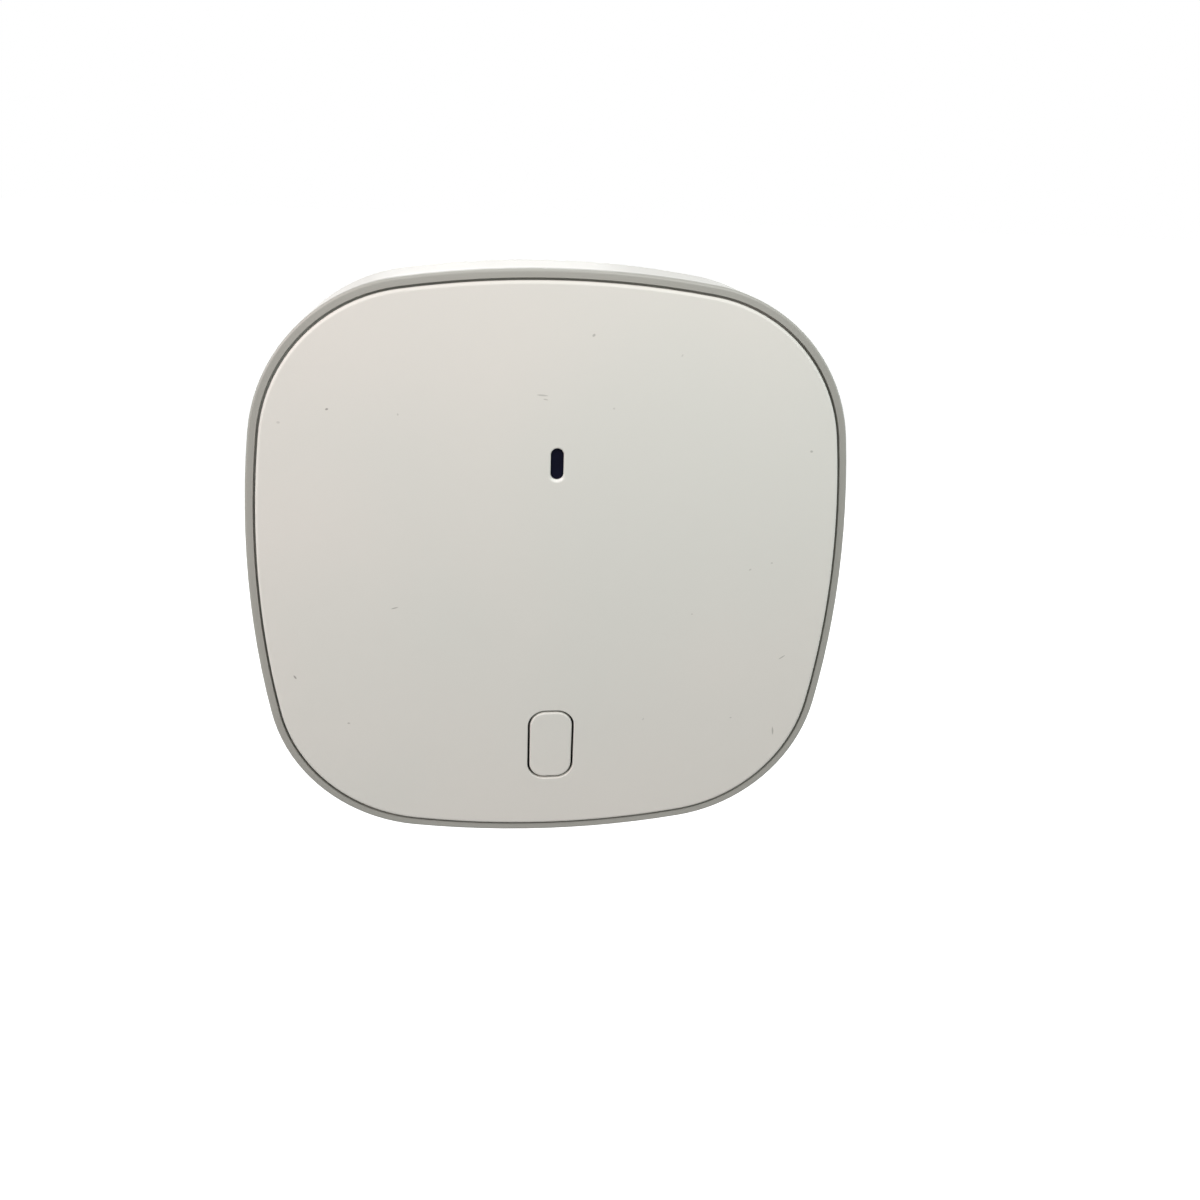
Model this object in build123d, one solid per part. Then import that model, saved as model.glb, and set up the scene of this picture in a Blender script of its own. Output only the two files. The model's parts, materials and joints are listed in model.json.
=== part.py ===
from build123d import *

import os
from math import atan2, degrees, hypot, radians, sqrt, tan

# A garage door controller: a square, soft-cornered hub that hangs on a wall bracket.
# A crowned white front panel sits in a grey trim ring, and both close a bowl-shaped rear shell.
# The panel carries the circuit board, the status lens and a push button over a small switch.
# The shell slides down over a T-shaped bracket, which two screws hold on the wall.
# Frame: X to the right as seen from the front, Y into the wall, Z up, millimetres.
# The origin is on the wall, in the middle of the bracket's two screws, so all depths are negative.

os.makedirs("parts", exist_ok=True)

# Case: the outline is four bowed sides and four tighter corners, all tangent arcs
case_width = 78.0
case_height = 78.0
case_depth = 28.0
side_bow_radius = 126.0
corner_radius = 22.0
wall_gap = 1.0

# Rear shell
shell_wall = 2.2
side_depth = 15.2
lean_angle = 24.0
bend_radius = 10.0
back_edge_radius = 7.0

# Trim ring
ring_width = 1.0
ring_lip = 1.4
ring_edge_radius = 0.35
ring_fit = 0.2
skirt_wall = 0.8
skirt_depth = 2.2

# Front panel
panel_crown = 0.6
panel_wall = 2.2
panel_proud = 0.4
panel_groove = 0.32
panel_edge_radius = 0.4
panel_flange = 1.1

# Case screws, driven from the back into the panel's posts
case_screw_x = 20.5
case_screw_z = 20.5
case_screw_radius = 1.3
case_screw_length = 10.0
case_screw_fit = 0.1
case_head_radius = 2.5
case_head_height = 1.7
case_post_radius = 3.2
well_depth = 8.0
well_clearance = 0.8
well_wall = 1.4
well_chamfer = 0.4
boss_floor = 2.0

# Cross recess shared by all screws
recess_share = 0.62
recess_blade_share = 0.2
recess_depth_share = 0.55

# Wall bracket and the channel that it fills
bracket_base_width = 24.0
bracket_flange_width = 30.0
bracket_height = 42.0
bracket_flange = 1.8
bracket_rim = 1.8
bracket_corner = 2.0
bracket_chamfer = 0.4
bracket_fit = 0.3
channel_wall = 1.6
channel_chamfer = 0.5
wall_screw_spacing = 28.0
wall_screw_radius = 2.25
wall_screw_head_radius = 4.3
wall_screw_boss = 1.8
catch_width = 9.0
catch_length = 9.0
catch_z = -3.5
catch_slit = 1.0
catch_ridge_radius = 0.9
catch_ridge_proud = 0.2

# Push button
button_width = 5.8
button_height = 10.2
button_corner = 2.1
button_gap = 0.3
button_from_bottom = 14.35
button_edge_radius = 0.25
button_flange = 0.8
button_overhang = 1.1
button_hollow_wall = 1.0
button_stem_radius = 1.5
button_travel = 0.5
button_well_wall = 1.0
button_well_depth = 2.2
hole_edge_radius = 0.15
plunger_gap = 0.05

# Status lens in its slot
slot_width = 1.65
slot_height = 4.0
slot_from_top = 23.4
slot_edge_radius = 0.18
lens_recess = 0.35
lens_fit = 0.04
lens_flange = 1.0
lens_overhang = 1.3
lens_to_led = 0.6
shroud_wall = 1.2

# Main board
board_standoff = 6.4
board_thickness = 1.6
board_inset = 4.0
board_post_clearance = 1.4
board_post_radius = 2.6
board_post_from_side = 11.0
board_post_from_top = 9.5
board_screw_radius = 1.0
board_screw_length = 5.0
board_screw_fit = 0.1
board_head_radius = 1.9
board_head_height = 1.3
board_hole_clearance = 0.2

# Switch under the button
switch_side = 6.2
switch_height = 3.4
switch_frame_wall = 0.3
plunger_radius = 1.7
plunger_reach = 1.1
plunger_shank = 1.0
plunger_fit = 0.08
plunger_edge = 0.2
dome_rise = 0.3
dome_sheet = 0.12
switch_rivet_radius = 0.5
switch_rivet_inset = 1.0

# Status lamp
led_width = 1.25
led_height = 2.0
led_thickness = 0.8
led_window_share = 0.7

# Power socket at the bottom edge
socket_width = 7.5
socket_height = 2.6
socket_length = 5.4
socket_wall = 0.3
socket_corner = 0.7
socket_overhang = 2.4
socket_back_wall = 0.8
tongue_width = 4.4
tongue_thickness = 0.6
tongue_length = 3.4
port_clearance = 0.9
port_chamfer = 0.5

# Radio boards and screening cans
wifi_width = 18.0
wifi_height = 24.0
wifi_thickness = 0.8
wifi_can_width = 15.0
wifi_can_height = 16.0
wifi_can_inset = 1.0
can_height = 2.2
can_corner = 0.8
can_wall = 0.2
radio_can_width = 13.0
radio_can_height = 11.0

# Stamped aerial along the board's top edge
aerial_span = 26.0
aerial_stand = 6.0
aerial_strip = 1.6
aerial_sheet = 0.4
aerial_leg_pitch = 5.0
aerial_tip = 3.0

# Sounder and its slots in the shell's side
sounder_radius = 6.2
sounder_clearance = 3.6
sounder_edge = 0.6
sounder_hole_radius = 1.2
sounder_hole_depth = 2.0
sound_slot_width = 1.3
sound_slot_length = 8.0
sound_slot_pitch = 3.4
sound_slots = 5

# Loose electronic parts
processor_side = 9.0
processor_height = 1.4
processor_dimple_radius = 0.6
processor_dimple_depth = 0.2
processor_leg_reach = 1.0
processor_leg_width = 0.5
processor_leg_pitch = 1.5
processor_leg_height = 0.5
processor_legs = 5
crystal_width = 5.0
crystal_depth = 3.2
crystal_height = 1.2
crystal_corner = 0.8
capacitor_radius = 3.15
capacitor_clearance = 3.1
capacitor_base = 1.0
capacitor_edge = 0.4
inductor_side = 6.0
inductor_height = 3.0
inductor_corner = 1.2
inductor_core_radius = 2.2
inductor_core_depth = 0.4
chip_length = 2.0
chip_width = 1.2
chip_height = 0.7

# One overrun for every cut that goes right through, and how near counts as the same depth
overrun = 1.0
nearness = 0.001

# Depths that the sizes above give
crown_y = -case_depth
panel_edge_y = crown_y + panel_crown
panel_back_y = crown_y + panel_wall
flange_back_y = panel_edge_y + panel_flange
ring_face_y = panel_edge_y + panel_proud
rim_y = ring_face_y + ring_lip
bend_y = ring_face_y + side_depth
case_back_y = -wall_gap
board_front_y = panel_back_y + board_standoff
board_back_y = board_front_y + board_thickness
case_seat_y = case_back_y - well_depth
case_post_y = case_seat_y - boss_floor
rail_y = case_back_y - shell_wall
bracket_face_y = rail_y - bracket_fit - bracket_flange
channel_floor_y = bracket_face_y - bracket_fit
channel_front_y = channel_floor_y - channel_wall
sounder_height = channel_front_y - board_back_y - sounder_clearance
capacitor_height = channel_front_y - board_back_y - capacitor_clearance
switch_top_y = board_front_y - switch_height
plunger_tip_y = switch_top_y - plunger_reach
lens_flange_y = panel_back_y + lens_flange
led_top_y = board_front_y - led_thickness
socket_y = board_front_y - socket_height / 2
dome_seat_y = switch_top_y + plunger_shank + button_travel + dome_rise + plunger_fit

# Heights of the button and the slot, from the edges that they lie near
button_z = button_from_bottom - case_height / 2
slot_z = case_height / 2 - slot_from_top

# Outline insets of the pieces that nest in the case
panel_inset = ring_width + panel_groove
ring_skirt_inset = shell_wall + ring_fit
ring_opening_inset = ring_skirt_inset + skirt_wall
panel_plate_inset = ring_opening_inset + ring_fit
board_half_width = case_width / 2 - board_inset
board_half_height = case_height / 2 - board_inset
socket_mouth_z = -board_half_height - socket_overhang

# Places on the board, as shares of its half width and half height
wifi_shares = (-0.11, 0.24)
aerial_shares = (0.0, 0.675)
radio_shares = (-0.7, 0.26)
sounder_shares = (0.63, -0.26)
processor_shares = (0.69, 0.26)
crystal_shares = (0.31, 0.16)
inductor_shares = (-0.27, -0.74)
capacitor_shares = ((-0.03, -0.74), (0.2, -0.74))
chip_shares = (
    (0.28, 0.0), (0.28, -0.07), (0.28, -0.14), (-0.66, -0.14), (-0.66, -0.21), (-0.54, -0.21),
    (0.06, -0.24), (0.15, -0.24), (0.06, -0.34), (-0.17, -0.34), (-0.28, -0.24), (-0.28, -0.34),
)


def facing(y, x=0.0, z=0.0):
    """A sketch plane across the case at depth y, with its own x along X and its own y along Z."""
    return Plane(origin=(x, y, z), x_dir=(1, 0, 0), z_dir=(0, -1, 0))


def slab(sketch, front, back, x=0.0, z=0.0):
    """A sketch drawn across the case, filled from depth front back to depth back."""
    return extrude(facing(back, x, z) * sketch, amount=back - front)


def rod(radius, front, back, x=0.0, z=0.0):
    """A round bar along Y."""
    return slab(Circle(radius), front, back, x, z)


def outline(inset):
    """The case's outline moved inwards: bowed sides and round corners, all tangent arcs."""
    bow = side_bow_radius - inset
    corner = corner_radius - inset
    side_x = side_bow_radius - case_width / 2
    side_z = side_bow_radius - case_height / 2
    between = hypot(side_x, side_z)
    reach = sqrt((side_bow_radius - corner_radius) ** 2 - between**2 / 4)
    corner_x = reach * side_z / between - side_x / 2
    corner_z = reach * side_x / between - side_z / 2
    low = degrees(atan2(corner_z, corner_x + side_x))
    high = degrees(atan2(corner_z + side_z, corner_x))
    arcs = [
        CenterArc((-side_x, 0), bow, -low, 2 * low),
        CenterArc((corner_x, corner_z), corner, low, high - low),
        CenterArc((0, -side_z), bow, high, 180 - 2 * high),
        CenterArc((-corner_x, corner_z), corner, 180 - high, high - low),
        CenterArc((side_x, 0), bow, 180 - low, 2 * low),
        CenterArc((-corner_x, -corner_z), corner, 180 + low, high - low),
        CenterArc((0, side_z), bow, 180 + high, 180 - 2 * high),
        CenterArc((corner_x, -corner_z), corner, -high, high - low),
    ]
    return make_face(arcs)


def edges_at(part, y):
    """The edges of a part that lie across the case at depth y."""
    return part.edges().filter_by_position(Axis.Y, y - nearness, y + nearness)


def bowl(inset, front):
    """The rear shell's form, inset all over: straight sides, a lean in to a flat back, and round bends."""
    bend = bend_y - inset * tan(radians(lean_angle / 2))
    back = case_back_y - inset
    straight = slab(outline(inset), front, bend)
    leaning = extrude(facing(bend) * outline(inset), amount=bend - back, taper=lean_angle)
    body = straight + leaning
    body = fillet(edges_at(body, bend), bend_radius - inset)
    return fillet(edges_at(body, back), back_edge_radius - inset)


def crown(depth=0.0):
    """Everything behind the front panel's crowned face, set back by depth."""
    half = case_width / 2 - panel_inset
    radius = (half**2 + panel_crown**2) / (2 * panel_crown)
    return Pos(0, crown_y + depth + radius, 0) * Sphere(radius)


def cross_recess(head_radius, head_height, mouth, x, z):
    """The cross-shaped driver recess of a screw head that faces the wall."""
    blade = Rectangle(2 * recess_share * head_radius, 2 * recess_blade_share * head_radius)
    floor = mouth - recess_depth_share * head_height
    return slab(blade + Rot(0, 0, 90) * blade, floor, mouth + overrun, x, z)


def screw(radius, length, head_radius, head_height, seat, x, z):
    """A screw driven from the back: its head rests on depth seat, its shank points to the front."""
    top = seat + head_height
    head = rod(head_radius, seat, top, x, z)
    head = chamfer(edges_at(head, top), head_height / 2)
    shank = rod(radius, seat - length, seat, x, z)
    shank = chamfer(edges_at(shank, seat - length), radius / 2)
    return head + shank - cross_recess(head_radius, head_height, top, x, z)


def corner_places():
    """The four case screws' places."""
    return [(sx * case_screw_x, sz * case_screw_z) for sx in (-1, 1) for sz in (-1, 1)]


def board_places():
    """The three board screws' places."""
    side = case_width / 2 - board_post_from_side
    return [(-side, 0.0), (side, 0.0), (0.0, case_height / 2 - board_post_from_top)]


def on_board(shares):
    """A place on the board from its shares of the half width and half height."""
    return shares[0] * board_half_width, shares[1] * board_half_height


def button_shape(grow=0.0):
    """The button's outline, grown all round."""
    return RectangleRounded(button_width + 2 * grow, button_height + 2 * grow, button_corner + grow)


def slot_shape(grow=0.0):
    """The status slot's outline with its fully rounded ends, grown all round."""
    return SlotOverall(slot_height + 2 * grow, slot_width + 2 * grow, rotation=90)


def make_front_panel():
    """Crowned plate with a thin edge for the ring, screw posts, and wells for button and lens."""
    edge = slab(outline(panel_inset), crown_y, flange_back_y)
    plate = slab(outline(panel_plate_inset), crown_y, panel_back_y)
    body = (edge + plate) & crown()
    rim = body.faces().sort_by(Axis.Y)[0].outer_wire().edges()
    body = fillet(rim, panel_edge_radius)
    button_hole = slab(button_shape(button_gap), crown_y - overrun, panel_back_y + overrun, z=button_z)
    slot = slab(slot_shape(), crown_y - overrun, panel_back_y + overrun, z=slot_z)
    body = body - button_hole - slot
    front = body.faces().sort_by(Axis.Y)[0]
    loops = front.inner_wires().sort_by(Axis.Z)
    body = fillet(loops[0].edges(), hole_edge_radius)
    front = body.faces().sort_by(Axis.Y)[0]
    body = fillet(front.inner_wires().sort_by(Axis.Z)[-1].edges(), slot_edge_radius)
    well_inner = button_overhang + button_gap
    well_back = panel_back_y + button_well_depth
    well = slab(button_shape(well_inner + button_well_wall), panel_back_y, well_back, z=button_z)
    body += well - slab(button_shape(well_inner), panel_back_y, well_back, z=button_z)
    for x, z in corner_places():
        post = rod(case_post_radius, panel_back_y, case_post_y, x, z)
        pilot_front = case_seat_y - case_screw_length - case_screw_fit
        pilot = rod(case_screw_radius + case_screw_fit, pilot_front, case_post_y, x, z)
        body += post - pilot
    for x, z in board_places():
        post = rod(board_post_radius, panel_back_y, board_front_y, x, z)
        pilot_front = board_back_y - board_screw_length - board_screw_fit
        pilot = rod(board_screw_radius + board_screw_fit, pilot_front, board_front_y, x, z)
        body += post - pilot
    return body


def make_trim_ring():
    """Grey ring: a flat face round the panel, a ledge under its edge and a skirt inside the shell."""
    lip = slab(outline(0.0), ring_face_y, rim_y) - slab(outline(ring_width), ring_face_y, flange_back_y)
    rim = lip.faces().sort_by(Axis.Y)[0].outer_wire().edges()
    lip = fillet(rim, ring_edge_radius)
    skirt = slab(outline(ring_skirt_inset), flange_back_y, rim_y + skirt_depth)
    return lip + skirt - slab(outline(ring_opening_inset), crown_y, rim_y + skirt_depth)


def sound_cuts():
    """Round-ended slots across the wall's bend, in a row beside the sounder."""
    inner_x, middle_z = on_board(sounder_shares)
    cuts = []
    for n in range(sound_slots):
        z = middle_z + (n - (sound_slots - 1) / 2) * sound_slot_pitch
        side = Plane(origin=(inner_x, bend_y, z), x_dir=(0, 1, 0), z_dir=(1, 0, 0))
        cuts.append(extrude(side * SlotOverall(sound_slot_length, sound_slot_width), amount=case_width / 2))
    return cuts


def above(z):
    """A sketch plane that faces upwards at height z, centred on the power socket."""
    return Plane(origin=(0, socket_y, z), x_dir=(1, 0, 0), z_dir=(0, 0, 1))


def port_shape(grow=0.0):
    """The outline of the opening round the power socket, grown all round."""
    space = port_clearance + grow
    return RectangleRounded(socket_width + 2 * space, socket_height + 2 * space, socket_corner + space)


def port_cut():
    """The opening through the bottom wall for the power plug, with a chamfered mouth."""
    bottom = -case_height / 2
    bore = extrude(above(bottom - overrun) * port_shape(), amount=overrun + shell_wall + overrun)
    mouth = extrude(above(bottom) * port_shape(port_chamfer), amount=port_chamfer, taper=45)
    lead = extrude(above(bottom - overrun) * port_shape(port_chamfer), amount=overrun)
    return bore + mouth + lead


def catch_bar(radius):
    """A round bar along X that lies under the middle of the bracket's face."""
    depth = bracket_face_y + catch_ridge_radius - catch_ridge_proud
    across = Plane(origin=(-catch_width / 2, depth, catch_z), x_dir=(0, 1, 0), z_dir=(1, 0, 0))
    return extrude(across * Circle(radius), amount=catch_width)


def back_mouth(shape, edge, x=0.0, z=0.0):
    """The chamfer round an opening in the case's back: its outline, grown by edge, drawn in again."""
    return extrude(facing(case_back_y, x, z) * shape, amount=edge, taper=45)


def channel_cut():
    """The bracket's channel: narrow behind, wide inside, closed above, open below, with a catch groove."""
    top = bracket_height / 2
    height = top + case_height / 2
    middle = top - height / 2
    wide = Rectangle(bracket_flange_width + 2 * bracket_fit, height)
    narrow = Rectangle(bracket_base_width + 2 * bracket_fit, height)
    cut = slab(wide, channel_floor_y, rail_y, z=middle)
    cut += slab(narrow, rail_y, case_back_y + overrun, z=middle)
    mouth = Rectangle(
        bracket_base_width + 2 * bracket_fit + 2 * channel_chamfer, height + 2 * channel_chamfer
    )
    cut += back_mouth(mouth, channel_chamfer, z=middle)
    return cut + catch_bar(catch_ridge_radius + bracket_fit)


def channel_block():
    """The walls that close the channel off from the inside of the case."""
    top = bracket_height / 2 + channel_wall
    height = top + case_height / 2
    wide = bracket_flange_width + 2 * bracket_fit + 2 * channel_wall
    return slab(Rectangle(wide, height), channel_front_y, case_back_y, z=top - height / 2)


def make_rear_shell():
    """Hollow bowl with screw wells, the bracket's channel, the socket's opening and the sound slots."""
    form = bowl(0.0, rim_y)
    shell = form - bowl(shell_wall, rim_y - overrun)
    shell += channel_block() & form
    well_radius = case_head_radius + well_clearance
    for x, z in corner_places():
        tube = rod(well_radius + well_wall, case_post_y, case_back_y, x, z)
        shell += tube & form
    for x, z in corner_places():
        shell -= rod(well_radius, case_seat_y, case_back_y + overrun, x, z)
        shell -= back_mouth(Circle(well_radius + well_chamfer), well_chamfer, x, z)
        shell -= rod(case_screw_radius + case_screw_fit, case_post_y, case_seat_y, x, z)
    shell -= channel_cut()
    shell -= port_cut()
    for cut in sound_cuts():
        shell -= cut
    return shell


def catch_slit_cut():
    """The U-shaped slit that frees the catch finger on three sides."""
    back = bracket_face_y + bracket_flange
    window = Rectangle(catch_width + 2 * catch_slit, catch_length + catch_slit)
    finger = Pos(0, catch_slit / 2) * Rectangle(catch_width, catch_length)
    middle = catch_z + catch_ridge_radius - catch_slit + catch_length / 2
    return slab(window - finger, bracket_face_y, back, z=middle)


def make_mounting_bracket():
    """T-shaped wall bracket: a wide face on a narrower hollow base, two screw bosses and a sprung catch."""
    back = bracket_face_y + bracket_flange
    plate = RectangleRounded(bracket_flange_width, bracket_height, bracket_corner)
    body = slab(plate, bracket_face_y, back)
    body = chamfer(edges_at(body, bracket_face_y), bracket_chamfer)
    rim = RectangleRounded(bracket_base_width, bracket_height, bracket_corner)
    core = RectangleRounded(
        bracket_base_width - 2 * bracket_rim, bracket_height - 2 * bracket_rim, bracket_corner / 2
    )
    body += slab(rim - core, back, 0.0)
    for side in (-1, 1):
        z = side * wall_screw_spacing / 2
        boss = wall_screw_radius + wall_screw_boss
        body += rod(boss, back, 0.0, z=z)
        body += slab(Rectangle(bracket_base_width - bracket_rim, bracket_rim), back, 0.0, z=z)
    sink = wall_screw_head_radius - wall_screw_radius
    for side in (-1, 1):
        z = side * wall_screw_spacing / 2
        body -= rod(wall_screw_radius, bracket_face_y - overrun, overrun, z=z)
        front = Plane(origin=(0, bracket_face_y, z), x_dir=(1, 0, 0), z_dir=(0, 1, 0))
        body -= extrude(front * Circle(wall_screw_head_radius), amount=sink, taper=45)
    body -= catch_slit_cut()
    return body + catch_bar(catch_ridge_radius)


def make_settings_button():
    """Hollow cap whose crowned face is flush with the panel, with a flange behind the panel and a stem."""
    cap = slab(button_shape(), crown_y, panel_back_y)
    cap = Pos(0, 0, button_z) * cap & crown()
    front = cap.faces().sort_by(Axis.Y)[0]
    cap = fillet(front.outer_wire().edges(), button_edge_radius)
    flange_back = panel_back_y + button_flange
    cap += slab(button_shape(button_overhang), panel_back_y, flange_back, z=button_z)
    hollow_front = crown_y + panel_crown + button_hollow_wall
    cap -= slab(button_shape(-button_hollow_wall), hollow_front, flange_back, z=button_z)
    stem_back = plunger_tip_y - plunger_gap
    return cap + rod(button_stem_radius, hollow_front, stem_back, z=button_z)


def make_status_lens():
    """Smoked light guide: a nose in the slot, a flange behind the panel and a tail towards the lamp."""
    nose = slab(slot_shape(-lens_fit), crown_y, panel_back_y)
    nose = Pos(0, 0, slot_z) * nose & crown(lens_recess)
    flange = slab(slot_shape(lens_overhang), panel_back_y, lens_flange_y, z=slot_z)
    tail = slab(slot_shape(-lens_fit), lens_flange_y, led_top_y - lens_to_led, z=slot_z)
    return nose + flange + tail


def make_lens_shroud():
    """Rubber sleeve from the lens flange to the board, which keeps stray light out of the case."""
    bore = slot_shape(lens_fit)
    sleeve = slab(slot_shape(shroud_wall), lens_flange_y, board_front_y, z=slot_z)
    return sleeve - slab(bore, lens_flange_y, board_front_y, z=slot_z)


def make_main_board():
    """Board in the case's own outline, with holes for the case posts and for its own screws."""
    board = slab(outline(board_inset), board_front_y, board_back_y)
    for x, z in corner_places():
        board -= rod(case_post_radius + board_post_clearance, board_front_y, board_back_y, x, z)
    for x, z in board_places():
        board -= rod(board_screw_radius + board_hole_clearance, board_front_y, board_back_y, x, z)
    return board


def make_switch_base():
    """Square switch body with a bore for the plunger and the dome under it."""
    body = slab(Rectangle(switch_side, switch_side), switch_top_y, board_front_y, z=button_z)
    return body - rod(plunger_radius + plunger_fit, switch_top_y, dome_seat_y, z=button_z)


def make_switch_dome():
    """Domed spring disc at the bottom of the switch's bore."""
    half = plunger_radius
    radius = (half**2 + dome_rise**2) / (2 * dome_rise)
    centre = dome_seat_y - dome_rise + radius
    ball = Pos(0, centre, button_z) * Sphere(radius)
    inner = Pos(0, centre, button_z) * Sphere(radius - dome_sheet)
    return (ball - inner) & rod(half, dome_seat_y - dome_rise, dome_seat_y, z=button_z)


def make_switch_frame():
    """Sheet-metal cover on the switch, riveted at its four corners."""
    front = switch_top_y - switch_frame_wall
    frame = slab(Rectangle(switch_side, switch_side), front, switch_top_y, z=button_z)
    frame -= rod(plunger_radius + 2 * plunger_fit, front, switch_top_y, z=button_z)
    spread = switch_side / 2 - switch_rivet_inset
    for sx in (-1, 1):
        for sz in (-1, 1):
            z = button_z + sz * spread
            frame += rod(switch_rivet_radius, front - switch_frame_wall, front, sx * spread, z)
    return frame


def make_switch_plunger():
    """Round plunger that the button's stem pushes into the switch."""
    body = rod(plunger_radius, plunger_tip_y, switch_top_y + plunger_shank, z=button_z)
    return chamfer(edges_at(body, plunger_tip_y), plunger_edge)


def make_status_led():
    """Surface-mounted lamp behind the lens: a base with a narrower window on it."""
    middle = board_front_y - led_thickness / 2
    base = slab(Rectangle(led_width, led_height), middle, board_front_y, z=slot_z)
    window = Rectangle(led_window_share * led_width, led_window_share * led_height)
    return base + slab(window, led_top_y, middle, z=slot_z)


def socket_profile(inset):
    """The socket's mouth: a flat top and a bottom with two slanted corners."""
    half = socket_width / 2 - inset
    tall = socket_height / 2 - inset
    cut = socket_corner
    return make_face(
        Polyline(
            (-half, tall), (half, tall), (half, -tall + cut), (half - cut, -tall),
            (-half + cut, -tall), (-half, -tall + cut), (-half, tall),
        )
    )


def make_power_socket():
    """Metal shell of the power socket, open downwards."""
    tube = socket_profile(0.0) - socket_profile(socket_wall)
    return extrude(above(socket_mouth_z) * tube, amount=socket_length)


def make_socket_tongue():
    """Moulded insert that closes the socket's inner end and carries the contact tongue."""
    block_z = socket_mouth_z + socket_length - socket_back_wall
    block = extrude(above(block_z) * socket_profile(socket_wall), amount=socket_back_wall)
    tongue = Rectangle(tongue_width, tongue_thickness)
    return block + extrude(above(block_z - tongue_length) * tongue, amount=tongue_length)


def on_back(sketch, height, shares, base=0.0):
    """A piece that stands on the back of the board, or base above it, at a place given in shares."""
    x, z = on_board(shares)
    front = board_back_y + base
    return slab(sketch, front, front + height, x, z)


def make_can(width, height, shares, base=0.0, drop=0.0):
    """Pressed screening can: an open box with rounded top edges, moved down by drop."""
    x, z = on_board(shares)
    front = board_back_y + base
    back = front + can_height
    can = slab(RectangleRounded(width, height, can_corner), front, back, x, z - drop)
    can = fillet(edges_at(can, back), can_corner / 2)
    hollow = RectangleRounded(width - 2 * can_wall, height - 2 * can_wall, can_corner - can_wall)
    return can - slab(hollow, front, back - can_wall, x, z - drop)


def make_wifi_board():
    """Small radio board, soldered flat on the main board."""
    return on_back(Rectangle(wifi_width, wifi_height), wifi_thickness, wifi_shares)


def make_wifi_can():
    """Screening can on the lower part of the radio board, clear of its printed aerial."""
    drop = (wifi_height - wifi_can_height) / 2 - wifi_can_inset
    return make_can(wifi_can_width, wifi_can_height, wifi_shares, wifi_thickness, drop)


def make_aerial():
    """Stamped aerial: a long strip that stands off the board on two legs, with its far tip bent down."""
    middle_x, low_z = on_board(aerial_shares)
    left = -aerial_span / 2
    top = board_back_y + aerial_stand
    outer = [
        (left, board_back_y), (left, top), (-left, top), (-left, top - aerial_tip),
        (-left - aerial_sheet, top - aerial_tip), (-left - aerial_sheet, top - aerial_sheet),
        (left + aerial_sheet, top - aerial_sheet), (left + aerial_sheet, board_back_y),
        (left, board_back_y),
    ]
    across = Plane(origin=(middle_x, 0, low_z), x_dir=(1, 0, 0), z_dir=(0, 0, 1))
    strip = extrude(across * make_face(Polyline(*outer)), amount=aerial_strip)
    leg_x = middle_x + left + aerial_leg_pitch + aerial_sheet / 2
    leg = slab(Rectangle(aerial_sheet, aerial_strip), board_back_y, top, leg_x, low_z + aerial_strip / 2)
    return strip + leg


def make_sounder():
    """Round sounder with a sound hole in its cap."""
    x, z = on_board(sounder_shares)
    back = board_back_y + sounder_height
    body = rod(sounder_radius, board_back_y, back, x, z)
    body = chamfer(edges_at(body, back), sounder_edge)
    return body - rod(sounder_hole_radius, back - sounder_hole_depth, back, x, z)


def make_processor():
    """Square chip with a pin-one dimple and legs on all four sides."""
    x, z = on_board(processor_shares)
    body = on_back(Rectangle(processor_side, processor_side), processor_height, processor_shares)
    corner = processor_side / 2 - 2 * processor_dimple_radius
    top = board_back_y + processor_height
    body -= rod(processor_dimple_radius, top - processor_dimple_depth, top, x - corner, z + corner)
    span = processor_side + 2 * processor_leg_reach
    for n in range(processor_legs):
        place = (n - (processor_legs - 1) / 2) * processor_leg_pitch
        across = Pos(0, place) * Rectangle(span, processor_leg_width)
        upright = Pos(place, 0) * Rectangle(processor_leg_width, span)
        body += on_back(across, processor_leg_height, processor_shares)
        body += on_back(upright, processor_leg_height, processor_shares)
    return body


def make_crystal():
    """Flat crystal can with rounded corners."""
    shape = RectangleRounded(crystal_width, crystal_depth, crystal_corner)
    return on_back(shape, crystal_height, crystal_shares)


def make_capacitors():
    """Can capacitors, each on a square moulded base."""
    cans = []
    for shares in capacitor_shares:
        x, z = on_board(shares)
        top = board_back_y + capacitor_height
        can = rod(capacitor_radius, board_back_y + capacitor_base, top, x, z)
        can = chamfer(edges_at(can, top), capacitor_edge)
        base = Rectangle(2 * capacitor_radius, 2 * capacitor_radius)
        cans.append(can + on_back(base, capacitor_base, shares))
    return Compound(children=cans)


def make_inductor():
    """Square choke with a round core sunk in its top."""
    x, z = on_board(inductor_shares)
    top = board_back_y + inductor_height
    shape = RectangleRounded(inductor_side, inductor_side, inductor_corner)
    body = on_back(shape, inductor_height, inductor_shares)
    return body - rod(inductor_core_radius, top - inductor_core_depth, top, x, z)


def make_chip_parts():
    """Small resistors and capacitors on the board's back."""
    body = Rectangle(chip_length, chip_width)
    return Compound(children=[on_back(body, chip_height, shares) for shares in chip_shares])


def make_board_screws():
    """The screws that hold the board on the front panel's posts."""
    return Compound(
        children=[
            screw(
                board_screw_radius, board_screw_length, board_head_radius, board_head_height,
                board_back_y, x, z,
            )
            for x, z in board_places()
        ]
    )


def make_case_screws():
    """The screws that draw the shell, the ring and the panel together."""
    return Compound(
        children=[
            screw(
                case_screw_radius, case_screw_length, case_head_radius, case_head_height,
                case_seat_y, x, z,
            )
            for x, z in corner_places()
        ]
    )


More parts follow.
